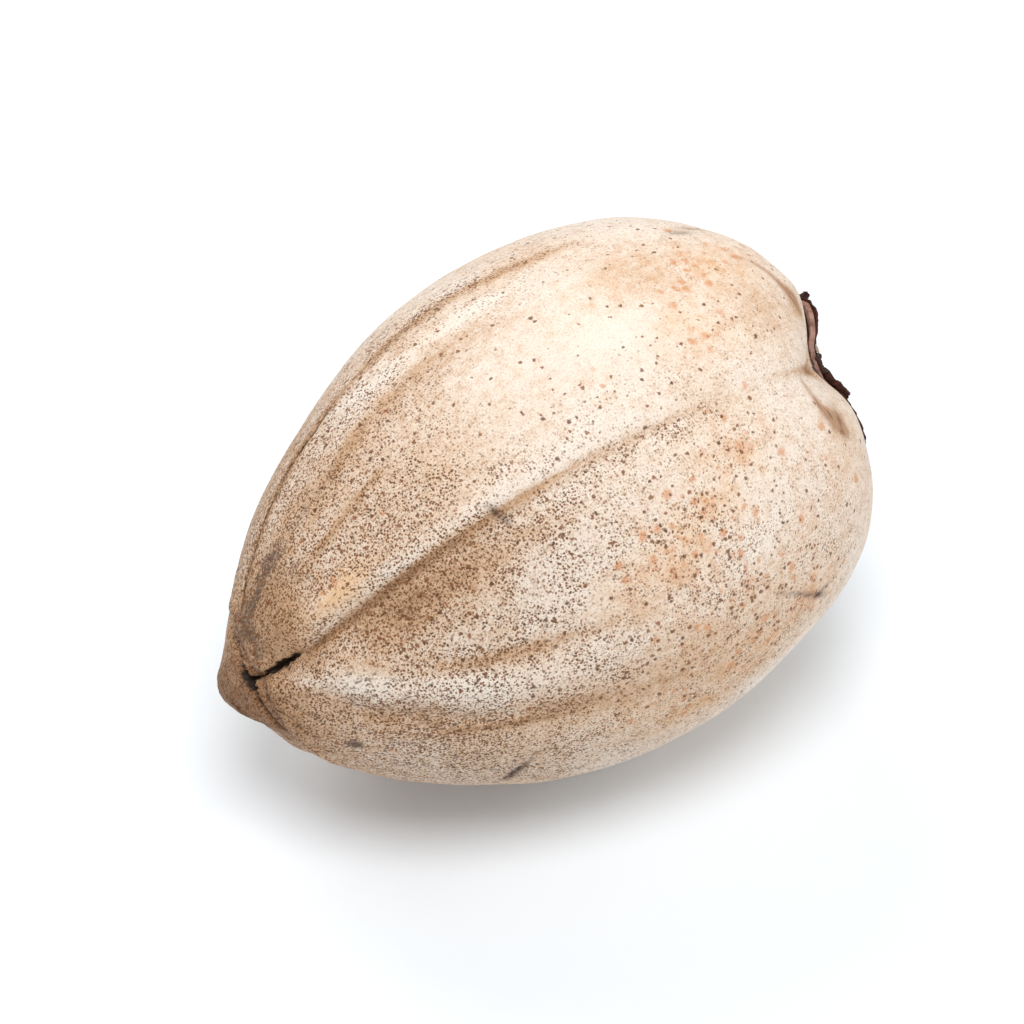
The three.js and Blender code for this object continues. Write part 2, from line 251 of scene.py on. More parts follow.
# Sutures of the husk as [x, phi, rise, half width on the upper side, half width on the lower side]
sutures = {
    "crease": [
        [7, 17, -1, 2.2, 2.2], [9, 25, -3.2, 2.4, 2.6], [13, 27.5, -4.2, 2.6, 4],
        [20, 29.5, -4.6, 3.4, 8], [32, 30, -4.4, 4.5, 12], [51, 31, -3.6, 5, 14],
        [68, 31.5, -2.8, 5, 14], [86, 31.5, -2.1, 5, 14], [107, 32, -1.6, 5, 14],
        [130, 32.5, -1.2, 5, 14], [160, 34.5, -0.9, 6, 12], [180, 36.5, -1, 8, 12],
        [196, 38.5, -2, 10, 12], [206, 40, -3.6, 12, 14], [215, 41, -6.4, 14, 17],
        [223, 41.5, -9.6, 15, 19], [230, 41.5, -12, 15, 19], [235, 41.5, -12.4, 15, 19],
    ],
    "lower": [
        [7.5, 20, -1, 2, 2.2], [6.4, 38, -2.2, 2, 3], [6, 62, -3, 2.2, 4], [7.2, 94, -3.8, 2.6, 6],
        [10, 116, -4.6, 3, 8], [16.5, 134, -4.6, 4, 9], [28, 150, -3.4, 5, 9],
        [55, 160, -2.2, 6, 8], [100, 166, -1.4, 7, 7], [160, 166, -1.2, 7, 7],
        [200, 166, -2.4, 9, 9], [226, 166, -4.5, 10, 10], [235, 166, -3, 10, 10],
    ],
    "upper": [
        [7.5, 14, -1, 2, 2], [7.4, 2, -2.2, 3, 2], [8.9, -16, -2.8, 3.5, 2.2],
        [10.8, -33, -3.2, 4, 2.6], [15, -50, -3.4, 5, 3], [28, -68, -3, 7, 5], [55, -80, -2, 7, 6],
        [100, -86, -1.4, 7, 7], [160, -88, -1.2, 7, 7], [200, -88, -2.4, 9, 9],
        [226, -88, -4.5, 10, 10], [235, -88, -3, 10, 10],
    ],
}

# Soft ridges (rise above 0) and valleys, in the same way
folds = {
    "lowerCrest": [
        [11, 42, 0.2, 4, 4], [20, 47, 1.2, 6, 6], [29, 57, 1.8, 8, 7], [45, 67, 1.8, 9, 6],
        [64, 71.5, 1.5, 9, 6], [84, 73.5, 1, 9, 7], [112, 75, 0.4, 9, 8], [140, 76, 0, 9, 9],
    ],
    "bandUnderCrest": [
        [20, 64, -0.1, 4, 4], [31, 73, -0.9, 4, 5], [48, 80, -1.1, 4, 6], [67, 84, -0.9, 4, 6],
        [98, 86, -0.4, 5, 6], [125, 87, 0, 5, 5],
    ],
    "fineValley": [
        [46, 57, 0, 3, 4], [55, 61, -0.6, 3, 4], [73, 63.5, -0.6, 3, 4], [92, 65, -0.5, 3, 4],
        [112, 67, 0, 3, 4],
    ],
    "upperRidge": [
        [14, -27.5, 0.1, 6, 6], [25, -34.5, 0.3, 8, 8], [50, -36, 0.4, 9, 9], [110, -32, 0.4, 9, 9],
        [135, -29, 0.5, 9, 9], [162, -21.5, 0.6, 9, 9], [185, -19, 0.7, 9, 9],
        [206, -18, 0.6, 9, 9], [222, -18, 0, 9, 9],
    ],
    "innerRidge": [
        [40, -33, 0, 4, 4], [72, -31, 0.6, 5, 4], [105, -25, 0.7, 5, 4], [127, -18, 0.6, 5, 4],
        [150, -12, 0, 5, 5],
    ],
    "faceValley": [
        [40, -6, 0, 6, 6], [56, -10, -0.5, 6, 6], [90, -12.5, -0.6, 6, 7], [117, -12.5, -0.4, 6, 7],
        [140, -8, 0, 6, 6],
    ],
    "farRidge": [
        [12, 206, 0.3, 10, 10], [30, 212, 1, 12, 12], [70, 218, 1.4, 14, 14],
        [120, 220, 1.2, 14, 14], [170, 220, 1, 14, 14], [210, 220, 0.4, 12, 12],
    ],
}

# Mounds and hollows as [x, phi, rise, radius]
mounds = [
    [7.4, 19, -2, 3.4], [4.5, -94, 3, 8], [4, -146, 1.8, 7], [5, 165, -4.5, 11], [15, -42, 1.3, 9],
    [66, -55, -1.1, 38], [75, 127, 1.2, 34], [232, 14, 1.7, 8], [105, 124, 0.6, 30],
    [180, 117, -1.6, 26], [230, 76, -1.6, 15], [230, -2, 2.2, 18], [214, 10, 0.8, 16],
]

rimShare = huskForm["rimPoint"] / (len(huskForm["meridian"]) - 1)
outerMeridian = splineThrough(huskForm["meridian"], np.linspace(0, rimShare, 1200))


def radiusAt(x):
    return np.interp(x, outerMeridian[:, 0], outerMeridian[:, 1])


def placesOn(share, phi):
    step = 0.001
    here = splineThrough(huskForm["meridian"], share)
    ahead = splineThrough(huskForm["meridian"], share + step)
    behind = splineThrough(huskForm["meridian"], share - step)
    slope = ahead - behind
    slope /= np.linalg.norm(slope, axis=1, keepdims=True)
    slope[share <= 0] = (0, 1)
    slope[share >= 1] = (0, -1)
    return {
        "share": share,
        "phi": phi,
        "x": here[:, 0],
        "radius": here[:, 1],
        "at": around(here[:, 0], here[:, 1], phi),
        "out": around(-slope[:, 1], slope[:, 0], phi),
    }


def nearestOnPath(path, places):
    path = np.asarray(path, float)
    spots = np.arange(0, len(path) - 1 + 1e-9, 0.25)
    columns = [np.interp(spots, np.arange(len(path)), column) for column in path.T]
    stations = around(columns[0], radiusAt(columns[0]), columns[1])
    values = np.stack(columns[2:] + [columns[0]], -1)
    at = places["at"]
    nearest = ((stations ** 2).sum(1) - 2 * at @ stations.T).argmin(1)
    found = None
    for first in (np.maximum(nearest - 1, 0), np.minimum(nearest, len(stations) - 2)):
        along = stations[first + 1] - stations[first]
        off = at - stations[first]
        part = np.clip((off * along).sum(1) / (along * along).sum(1), 0, 1)[:, None]
        off = off - part * along
        distance = np.linalg.norm(off, axis=1)
        side = (np.cross(along, off) * places["out"]).sum(1)
        value = values[first] + (values[first + 1] - values[first]) * part
        if found is None:
            found = [distance, side, value]
            continue
        nearer = distance < found[0]
        found = [np.where(nearer, distance, found[0]), np.where(nearer, side, found[1]),
                 np.where(nearer[:, None], value, found[2])]
    return found[0], found[1] > 0, found[2]


def lobeWave(phi):
    turned = (phi + 88) % 360 - 88
    wave = np.full(len(phi), -1.0)
    for (low, sign), (high, _) in zip(huskForm["lobes"][:-1], huskForm["lobes"][1:]):
        within = (turned >= low) & (turned < high)
        wave[within] = sign * np.cos(np.pi * (turned[within] - low) / (high - low))
    return wave


def sutureRise(path, places, sharpShare):
    distance, onUpper, values = nearestOnPath(path, places)
    rise = values[:, 0]
    width = np.where(onUpper, values[:, 1], values[:, 2])
    pointed = np.exp(-distance / (huskForm["sharpReach"] * width))
    return distance, onUpper, rise * (sharpShare * pointed + (1 - sharpShare) * bell(distance / width))


def huskRise(places):
    x, radius = places["x"], places["radius"]
    lobeHeight = radius * readTable(huskForm["lobeShare"], x)
    rise = lobeHeight * lobeWave(places["phi"]) * ease(x, *huskForm["lobesStart"])
    distance, onUpper, crease = sutureRise(sutures["crease"], places, huskForm["sharpShare"])
    lip = bell((distance - huskForm["lipMiddle"]) / huskForm["lipReach"])
    lip *= readTable(huskForm["lip"], x)
    rise += crease + np.where(onUpper, lip, 0)
    for name, frontIsUpper in (("lower", True), ("upper", False)):
        sharp = huskForm["sharpShare"] * (1 - ease(x, *huskForm["sharpUntil"]))
        distance, onUpper, suture = sutureRise(sutures[name], places, sharp)
        edge = bell((distance - huskForm["edgeMiddle"]) / huskForm["edgeReach"])
        edge *= readTable(huskForm["edge"], x)
        rise += suture + np.where(onUpper == frontIsUpper, edge, 0)
    for path in folds.values():
        distance, onUpper, values = nearestOnPath(path, places)
        width = np.where(onUpper, values[:, 1], values[:, 2])
        rise += values[:, 0] * bell(distance / width)
    for moundX, moundPhi, height, reach in mounds:
        middle = around(moundX, radiusAt(moundX), moundPhi)
        rise += height * bell(np.linalg.norm(places["at"] - middle, axis=1) / reach)
    intoHollow = np.where(places["share"] > rimShare, ease(radius, *huskForm["hollowStart"]), 1)
    return rise * intoHollow


def toRow(points):
    turn = math.radians(lying["stemRise"])
    x = points[:, 0] - lying["turnX"]
    raised = np.stack([
        x * math.cos(turn) - points[:, 2] * math.sin(turn),
        points[:, 1],
        x * math.sin(turn) + points[:, 2] * math.cos(turn),
    ], -1)
    return (raised + lying["settle"]) * millimetre


print("husk form ready")


# The husk's mesh

huskMesh = {
    "columns": 380,
    "rows": 250,
    "columnDensity": [
        [-180, 0.5], [-75, 0.6], [-50, 1.2], [-30, 1.7], [-10, 1.2], [15, 1.6], [30, 2.4],
        [45, 1.6], [80, 1.3], [115, 1], [140, 0.5], [180, 0.5],
    ],
    "rowDensity": [[0, 3.4], [24, 3.4], [40, 1.8], [80, 1.1], [200, 1], [262, 1.2], [330, 0.9]],
    "dents": [[46, 0.55, 1], [17, 0.22, 2], [6.5, 0.07, 3]],
    "dentsStart": [0, 6],
    "hollowFade": [-0.01, 0.02],
    "crackWaves": {"height": 0.6, "scale": 1.3},
    "crackEdge": [0.25, 1.15],
    "tipLumps": {"height": 0.7, "scale": 6, "fade": [3, 14]},
    "ribs": {
        "height": 0.2,
        "along": 22,
        "around": 13,
        "reach": [[0, 1.4], [8, 1.4], [14, 1], [60, 0.6], [120, 0.15], [236, 0.1]],
    },
}

# Narrow cracks as [x, phi, depth, half width]
cracks = {
    "tipCrack": [
        [5, 9, 2.4, 1.2], [6.5, 17, 1.2, 0.6], [8.4, 21.5, 1.5, 0.7], [10.5, 23.8, 3.6, 1.3],
        [13.5, 25.4, 4, 1.5], [15.8, 26.4, 2.4, 1.1], [18.5, 28, 0, 0.8],
    ],
    "pit": [[5.4, -4, 1.6, 1.8], [5, 8, 4, 2.6], [4.7, 24, 2, 1.8]],
    "lowerGap": [
        [4.8, 20, 1.8, 1.4], [4.4, 38, 2.2, 1.1], [4.2, 56, 2, 0.9], [4.6, 78, 1.6, 0.8],
        [6, 104, 1.2, 0.7], [10, 122, 1, 0.7], [17, 136, 0.8, 0.7], [26, 148, 0, 0.6],
    ],
    "upperGap": [
        [5.4, 0, 1.8, 1.5], [6.4, -11.5, 2, 1], [7.5, -22.5, 1.6, 0.8], [9, -32.5, 1.4, 0.8],
        [10.8, -42, 1.2, 0.7], [14.1, -54, 1, 0.7], [19, -64, 0.7, 0.7], [28, -70, 0, 0.6],
    ],
    "lipLine": [
        [5.6, 30, 0, 0.5], [6.4, 52, 0.5, 0.6], [9.3, 67, 0.6, 0.6], [11.4, 82, 0.5, 0.6],
        [15, 94, 0.4, 0.6], [24, 106, 0, 0.6],
    ],
    "secondLipLine": [
        [8, 33, 0, 0.5], [9.6, 52, 0.4, 0.6], [13, 67, 0.5, 0.6], [18, 80, 0.4, 0.6],
        [28, 92, 0, 0.6],
    ],
    "upperLipLine": [
        [8.6, -6, 0, 0.5], [10.4, -22, 0.5, 0.6], [13.6, -36, 0.5, 0.6], [20, -48, 0.5, 0.6],
        [34, -52, 0, 0.6],
    ],
    "rightRidgeSeam": [
        [13, -23, 0, 0.5], [17, -28, 0.7, 0.7], [23, -31.5, 0.8, 0.8], [32, -32.5, 0.8, 0.8],
        [44, -33.5, 0.8, 0.8], [55, -33.5, 1, 0.9], [68, -31.5, 1.1, 1], [80, -33, 0.6, 0.8],
        [101, -29.5, 0.3, 0.6], [120, -28, 0, 0.6],
    ],
    "creaseLine": [
        [22, 29.8, 0.9, 0.9], [32, 28.6, 0.7, 1], [50, 28.6, 0.6, 1.1], [68, 29, 0.5, 1.2],
        [90, 29.5, 0.4, 1.4], [125, 31, 0.3, 1.5], [160, 34, 0, 1.5],
    ],
    "gash": [
        [84, 25.5, 0, 0.8], [85.2, 28.5, 0.8, 1.2], [86.3, 31, 0.8, 1.1], [87.6, 34.5, 0, 0.7],
    ],
    "underGash": [
        [72, 99, 0, 0.7], [69, 104.5, 0.5, 0.8], [66.6, 109, 0.9, 1.3], [65, 114, 0.8, 1.3],
        [63.5, 119, 0, 0.8],
    ],
}


def evenlyBy(density, count, low, high, closed):
    spots = np.linspace(low, high, 4000)
    weight = np.cumsum(readTable(density, spots))
    weight = (weight - weight[0]) / (weight[-1] - weight[0])
    shares = np.arange(count) / (count if closed else count - 1)
    return np.interp(shares, weight, spots)


def huskRowShares(count):
    shares = np.linspace(0, 1, 3000)
    points = splineThrough(huskForm["meridian"], shares)
    length = np.concatenate([[0], np.cumsum(np.linalg.norm(np.diff(points, axis=0), axis=1))])
    wanted = evenlyBy(huskMesh["rowDensity"], count, 0, length[-1], False)
    result = np.interp(wanted, length, shares)
    result[0], result[-1] = 0, 1
    return result


def crackDepth(path, places, ragged):
    distance, _, values = nearestOnPath(path, places)
    depth, half = values[:, 0], np.maximum(values[:, 1], 0.01)
    return depth * (1 - ease(distance / half + ragged, *huskMesh["crackEdge"]))


def makeHusk():
    columns, rows = huskMesh["columns"], huskMesh["rows"]
    deselectAll()
    bpy.ops.mesh.primitive_grid_add(x_subdivisions=columns, y_subdivisions=rows, size=1, location=(0, 0, 0))
    piece = bpy.context.object
    piece.name = "dryHusk"
    flat = readPoints(piece.data) + 0.5
    turn, fall = flat[:, 0] * math.tau, flat[:, 1] * math.pi
    ball = np.stack([np.cos(turn) * np.sin(fall), np.sin(turn) * np.sin(fall), np.cos(fall)], -1)
    writePoints(piece.data, ball)
    activate(piece)
    bpy.ops.object.mode_set(mode="EDIT")
    bpy.ops.mesh.select_all(action="SELECT")
    bpy.ops.mesh.remove_doubles(threshold=1e-5)  # closes the seam and both poles
    bpy.ops.object.mode_set(mode="OBJECT")
    ball = readPoints(piece.data)
    row = np.rint(np.arccos(np.clip(ball[:, 2], -1, 1)) / math.pi * rows).astype(int)
    column = np.rint(np.arctan2(ball[:, 1], ball[:, 0]) / math.tau * columns).astype(int) % columns
    angles = evenlyBy(huskMesh["columnDensity"], columns, -180, 180, True)
    share, phi = huskRowShares(rows + 1)[row], angles[column]
    places = placesOn(share, phi)
    rise = huskRise(places)
    print("husk raised")
    inside = 1 - ease(share - rimShare, *huskMesh["hollowFade"])
    start = ease(places["x"], *huskMesh["dentsStart"])
    for scale, height, seed in huskMesh["dents"]:
        rise += height * softNoise(places["at"], scale, seed) * start * inside
    ribs = huskMesh["ribs"]
    ribPoints = around(places["x"] / ribs["along"], ribs["around"], phi)
    rise += ribs["height"] * softNoise(ribPoints, 1, 4) * readTable(ribs["reach"], places["x"]) * inside
    lumps = huskMesh["tipLumps"]
    fade = 1 - ease(places["x"], *lumps["fade"])
    rise += lumps["height"] * softNoise(places["at"], lumps["scale"], 15) * fade
    waves = huskMesh["crackWaves"]
    ragged = waves["height"] * softNoise(places["at"], waves["scale"], 6)
    depths = {name: crackDepth(path, places, ragged) for name, path in cracks.items()}
    for depth in depths.values():
        rise -= depth
    row = toRow(places["at"] + places["out"] * rise[:, None])
    row[:, 2] = np.maximum(row[:, 2], 0)  # the flat spot it rests on
    writePoints(piece.data, row)
    pointOutward(piece)
    return piece, places, depths


huskPiece, huskPlaces, huskDepths = makeHusk()
print("husk mesh", len(huskPiece.data.vertices), "points")
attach(huskPiece, "root")
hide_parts("husk")


# The husk's finish

# Spots on the husk as [x, phi, reach along in mm, reach across in mm, amount]
huskSpots = {
    "tan": [
        [50, 38, 16, 8, 0.6], [72, 38, 16, 7, 0.4], [94, 38, 14, 6, 0.25], [30, 40, 6, 4, -0.3],
        [45, 52, 22, 7, 0.1], [35, 18, 12, 4, -0.5], [48, -17, 26, 10, 0.3],
        [150, 8, 30, 20, -0.25], [118, -2, 34, 16, 0.02], [172, 0, 22, 14, 0.3],
        [150, 60, 36, 26, -0.1], [110, -8, 26, 10, 0.2], [120, 84, 36, 20, 0.2],
        [185, 84, 24, 20, 0.15], [208, 20, 14, 12, 0.15], [22, -8, 14, 12, 0.25],
        [18, 14, 9, 7, 0.3], [1, -60, 6, 9, 0.2], [1, 60, 6, 9, 0.4], [3, -20, 3, 5, -0.4],
        [127, 83, 24, 14, 0.2], [70, 100, 40, 20, 0.05], [80, 70, 20, 8, -0.2],
        [60, 76, 16, 7, -0.25], [30, 70, 12, 7, -0.2], [226, 22, 6, 5, 0.5], [210, 70, 14, 14, 0.1],
        [55, -45, 40, 10, 0.25], [95, 57, 14, 6, -0.1], [172, 108, 22, 10, -0.3],
    ],
    "warm": [
        [30, 38, 10, 6, 0.6], [105, 100, 28, 12, 0.6], [100, 88, 24, 10, 0.5],
        [178, 18, 16, 12, 0.8], [206, 4, 16, 14, 0.8], [172, -2, 26, 12, 0.5],
        [136, 56, 20, 12, 0.6], [160, 48, 20, 12, 0.6], [181, 86, 14, 12, 0.5],
        [128, 98, 18, 10, 0.9], [152, 92, 18, 10, 0.8], [36, 17, 16, 6, 1], [20, 11, 10, 7, 0.9],
        [127, 82, 22, 12, 0.6], [85, 12, 20, 12, 0.3], [110, 62, 24, 14, 0.4],
        [150, -22, 20, 5, 0.5],
    ],
    "grime": [
        [31, -3.5, 7, 4, 0.7], [13, -5, 4, 7, 0.9], [11, 8.5, 3, 3, 0.7], [18.5, -17, 8, 4, 0.8],
        [30, -16.5, 8, 4, 0.7], [45, -14.5, 10, 4, 0.6], [56, -11.5, 8, 5, 0.5],
        [36, 73, 14, 4, 0.45], [25, 63.5, 10, 3, 0.45], [22.8, 91, 3.6, 2.6, 1.5],
        [12, -30, 10, 10, 0.6], [4, -100, 9, 9, 0.5], [2, -40, 3, 4, 0.5], [0.5, 80, 4, 4, 0.5],
        [8, 120, 14, 10, 0.6], [28, -20, 14, 6, 0.5], [20, -45, 12, 8, 0.5],
    ],
    "rust": [
        [178, 20, 14, 8, 0.35], [208, 3, 16, 12, 0.3], [135, 57, 14, 9, 0.7], [139, 17, 9, 6, 0.35],
        [168, 47, 14, 10, 0.45], [181, 89, 14, 10, 0.5], [128, 100, 16, 8, 0.6],
        [152, 91, 18, 9, 0.6], [150, 72, 26, 12, 0.45], [190, 62, 20, 12, 0.3],
        [112, 90, 16, 8, 0.3], [190, 0, 30, 22, 0.2], [140, 52, 26, 12, 0.4], [34, 12, 14, 5, 0.5],
        [115, 62, 20, 8, 0.3],
    ],
    "blotch": [
        [61, 40, 16, 9, 0.9], [46, 38, 16, 8, 0.8], [94, 42, 16, 8, 0.3], [161, -41, 30, 6, 0.35],
        [132, 22, 16, 8, 0.3], [135, 56, 26, 14, 0.4], [92, 82, 26, 9, 0.4], [160, 50, 24, 12, 0.3],
        [128, 84, 22, 10, 0.3], [145, 76, 30, 12, 0.5], [170, 85, 30, 14, 0.3],
        [128, 100, 24, 8, 0.3], [60, -2, 24, 10, 0.2], [110, 48, 20, 10, 0.25],
        [120, -28, 50, 4, 0.6], [112, 74, 20, 8, 0.3], [35, 74, 14, 6, 0.2],
    ],
    "pepper": [
        [120, 5, 40, 24, -0.5], [155, 5, 36, 26, -0.2], [30, 56, 16, 6, -0.6],
        [150, 62, 34, 24, 0.12], [190, 80, 24, 20, 0.2], [60, 35, 30, 8, 0.6],
        [25, -8, 16, 12, 0.4], [35, 18, 10, 3.5, -0.8], [150, 95, 34, 12, 0.2],
    ],
    "scar": [[207, -12, 5, 1.4, 0.8], [214, -15, 6, 1.4, 0.6], [181.5, 91, 4, 1.4, 0.8]],
    "dash": [
        [26, 62, 16, 8, 0.6], [45, 84, 22, 10, 0.8], [40, 70, 16, 6, 0.5], [60, -34, 50, 5, 0.8],
        [30, -45, 30, 10, 0.7], [20, -20, 16, 10, 0.5], [120, -27, 40, 5, 0.5],
        [40, 100, 34, 14, 0.5], [36, 17, 12, 4, 0.35], [70, 62, 20, 5, 0.5],
    ],
    "bruise": [[213.5, 55.5, 5, 5, 1.1]],
    "fan": [[36, 19.5, 9, 3.2, 1]],
}

# Bands along the husk as [x, phi, amount, half width on the upper side, half width on the lower side]
huskBands = {
    "tan": {
        # Paler along the lobe crest, partly its own pale cream and partly a painted highlight
        "crestPaleAndHighlight": [
            [10, 38, -0.1, 3, 3], [20, 48, -0.45, 4, 4], [31, 58, -0.65, 4, 4],
            [43, 65, -0.65, 4, 3.5], [58, 69.5, -0.6, 3.5, 3], [76, 72.5, -0.4, 3, 3],
            [96, 75, 0, 3, 3],
        ],
        # Browner under the crest, partly brown stain and partly painted shade
        "underCrest": [
            [20, 66, 0.1, 4, 4], [31, 73, 0.35, 4, 7], [48, 79, 0.3, 5, 8], [67, 82.5, 0.25, 5, 7],
            [85, 84, 0.5, 4, 6], [105, 86, 0.3, 4, 6], [130, 88, 0, 4, 6],
        ],
        "fineValley": [
            [44, 58, 0, 2, 2], [58, 62, 0.45, 2, 3], [78, 64, 0.5, 2, 3], [98, 66, 0.3, 2, 3],
            [120, 68, 0, 2, 3],
        ],
        "underCrestLine": [
            [36, 84, 0, 1, 1], [50, 85, 0.5, 1, 1.4], [72, 86, 0.5, 1, 1.4], [86, 87, 0, 1, 1],
        ],
        # Painted highlight: paler along the lit upper lip of the crease
        "creaseLipHighlight": [
            [20, 27.5, 0, 3, 1], [32, 25.5, -0.35, 3.5, 1], [60, 26, -0.4, 4, 1],
            [100, 27.5, -0.35, 4, 1], [140, 30, -0.2, 4, 1], [170, 33, 0, 4, 1],
        ],
        # Browner under the crease, partly brown stain and partly painted shade
        "creaseBrownAndShade": [
            [20, 30, 0.5, 0.8, 2], [50, 28.5, 0.7, 0.8, 2.4], [90, 29.3, 0.6, 0.8, 2.4],
            [125, 31, 0.4, 0.8, 2.4], [165, 34, 0.15, 0.8, 3], [185, 37, 0, 1, 3],
        ],
        "upperRidgeBrown": [
            [14, -25, 0.3, 2, 2], [30, -31.5, 0.5, 2, 2], [55, -33.5, 0.8, 2, 2.5],
            [76, -32.5, 0.7, 2, 2.5], [100, -29.5, 0.5, 3, 3], [125, -26, 0.6, 3, 3],
            [150, -21.5, 0.6, 3, 3], [175, -18, 0.1, 3, 3],
        ],
        # Painted highlight: paler along the inner ridge
        "innerRidgeHighlight": [
            [70, -30, 0, 1.5, 2], [88, -22.5, -0.6, 2, 2.4], [106, -19.5, -0.6, 2, 2.4],
            [130, -16, -0.3, 2, 2], [150, -12, 0, 2, 2],
        ],
        # Browner along the face valley, partly brown colour and partly painted shade
        "faceValleyBrownAndShade": [
            [50, -13, 0.1, 3, 5], [75, -15.5, 0.4, 3, 6], [95, -14.5, 0.4, 3, 6],
            [115, -12, 0.2, 3, 5], [135, -10, 0, 3, 5],
        ],
        "stemGroove": [
            [192, 36.5, 0.1, 1, 1.5], [208, 38.5, 0.5, 1, 2], [222, 40, 1, 1.4, 3],
            [233, 41, 1.2, 3, 4],
        ],
        "upperFaceLine": [
            [28, 0, 0.1, 1.5, 2], [40, 1, 0.5, 1.5, 2], [60, 0, 0.4, 1.5, 2], [78, -1, 0, 1.5, 2],
        ],
    },
    "pepper": {
        "upperRidgeDots": [
            [80, -33, 0, 3, 3], [110, -29, 0.5, 4, 3], [135, -25, 0.7, 4, 3], [155, -21, 0.5, 4, 3],
            [185, -18, 0, 3, 3],
        ],
        "creaseDots": [
            [60, 31, 0.2, 1, 5], [100, 31.5, 0.5, 1, 6], [140, 33, 0.5, 1, 6], [175, 36, 0, 1, 5],
        ],
    },
    "bruise": {
        "stemScar": [
            [209, 42, 0.7, 1.4, 1.4], [208.3, 46, 1, 1.8, 1.8], [207.8, 50, 1.2, 2.4, 2.4],
            [210, 56, 1.2, 2.8, 2.8], [214, 60.5, 1, 2.5, 2.5],
        ],
        "lipSmear": [
            [218, 4, 0.4, 1, 1], [223, 9, 0.7, 1.6, 1.6], [225, 14, 1.1, 2.2, 2.2],
            [227, 18.5, 1.3, 3, 3], [229, 23, 1, 2.5, 2.5],
        ],
    },
    "scar": {
        "gash": [
            [84.4, 26.5, 0.4, 1.1, 1.1], [85.4, 29, 1.2, 1.4, 1.4], [86.6, 32, 1, 1.1, 1.1],
            [87.5, 34.5, 0.2, 0.8, 0.8],
        ],
        "underGash": [
            [73, 97, 0, 0.7, 0.7], [69.5, 103, 0.8, 0.8, 0.8], [67, 108, 1.5, 1.7, 1.7],
            [65, 114, 1.5, 1.8, 1.8], [63.5, 120, 0.3, 1, 1],
        ],
        "lowerScratch": [
            [158, 79, 0.2, 0.8, 0.8], [168, 84, 0.7, 0.9, 0.9], [178, 90, 1, 1.1, 1.1],
            [185, 95, 0.5, 1, 1],
        ],
    },
}

huskFinish = {
    "tanOverX": [
        [0, 1.8], [8, 1.4], [14, 1], [40, 0.65], [70, 0.54], [100, 0.46], [130, 0.42], [170, 0.44],
        [236, 0.42],
    ],
    "pepperOverX": [
        [0, 1.2], [50, 1.15], [80, 0.8], [110, 0.52], [150, 0.38], [180, 0.28], [236, 0.15],
    ],
    "strongest": 1.6,
    "darkest": 1.2,
    # Painted shade over the hollow past the rim, as shares of the meridian
    "hollowShade": [0.003, 0.011],
    "streakAlong": 30,
    "streakAround": 32,
    "cream": "ebded0",
    "creamWarm": "e6c19c",
    "tan": "c8a380",
    "brown": "8c6647",
    "greyBrown": "50423a",
    "crackShadeBlack": "1d120c",
    "rustOrange": "cf8a56",
    "blotchRed": "8c5529",
    "blotchDark": "512f18",
    "pepperDark": "523318",
    "scarBrown": "4a2712",
    "bruiseTan": "a3754f",
    "fanOrange": "e3b98c",
}

# How dark each crack is painted for a depth of 1 mm, a painted shade that deepens with depth, first those
# that are nearly black
openCrackShading = {"tipCrack": 0.6, "pit": 0.6, "lowerGap": 0.36, "upperGap": 0.36}
fineCrackShading = {
    "rightRidgeSeam": 1.2,
    "gash": 0.3,
    "underGash": 0.7,
    "lipLine": 1,
    "secondLipLine": 1,
    "upperLipLine": 1,
}


def paintHusk(piece, places, depths):
    x, phi, at = places["x"], places["phi"], places["at"]
    tone = {
        "tan": readTable(huskFinish["tanOverX"], x),
        "pepper": readTable(huskFinish["pepperOverX"], x),
    }
    turn = np.radians(phi)
    aroundWay = np.stack([np.zeros(len(x)), -np.cos(turn), -np.sin(turn)], -1)
    for name, spots in huskSpots.items():
        amount = tone.get(name, np.zeros(len(x)))
        for spotX, spotPhi, along, across, strength in spots:
            off = at - around(spotX, radiusAt(spotX), spotPhi)
            sideways = (off * aroundWay).sum(1)
            lengthwise = np.maximum((off ** 2).sum(1) - sideways ** 2, 0)
            amount = amount + strength * np.exp(-lengthwise / along ** 2 - sideways ** 2 / across ** 2)
        for band in huskBands.get(name, {}).values():
            distance, onUpper, values = nearestOnPath(band, places)
            width = np.where(onUpper, values[:, 1], values[:, 2])
            amount = amount + values[:, 0] * bell(distance / width)
        paintValues(piece.data, name, np.clip(amount, 0, huskFinish["strongest"]))
    # Painted shade: the open and fine cracks are darkened by their depth
    for name, kept in (("crackShade", openCrackShading), ("fineCrackShade", fineCrackShading)):
        depth = np.max([depths[crack] * darkness for crack, darkness in kept.items()], axis=0)
        # Painted shade: the hollow past the rim is darkened all over
        if name == "crackShade":
            depth = np.maximum(depth, ease(places["share"] - rimShare, *huskFinish["hollowShade"]))
        paintValues(piece.data, name, np.clip(depth, 0, huskFinish["darkest"]))
    fibre = around(x / huskFinish["streakAlong"], huskFinish["streakAround"], phi)
    paintValues(piece.data, "fibre", fibre)


# Patterns in the skin as [scale, detail, roughness]
skinPatterns = {
    "grain": [1.0, 5.0, 0.62],
    "fineGrain": [3.4, 4.0, 0.6],
    "crossGrain": [1.0, 3.0, 0.6],
    "drift": [26.0, 3.0, 0.5],
    "mottle": [240.0, 4.0, 0.65],
    "fleck": [1500.0, 2.0, 0.6],
    "patches": [120.0, 3.0, 0.6],
    "stain": [700.0, 5.0, 0.8],
    "clusters": [90.0, 2.0, 0.5],
    "dust": [1500.0, 1.0, 0.5],
}

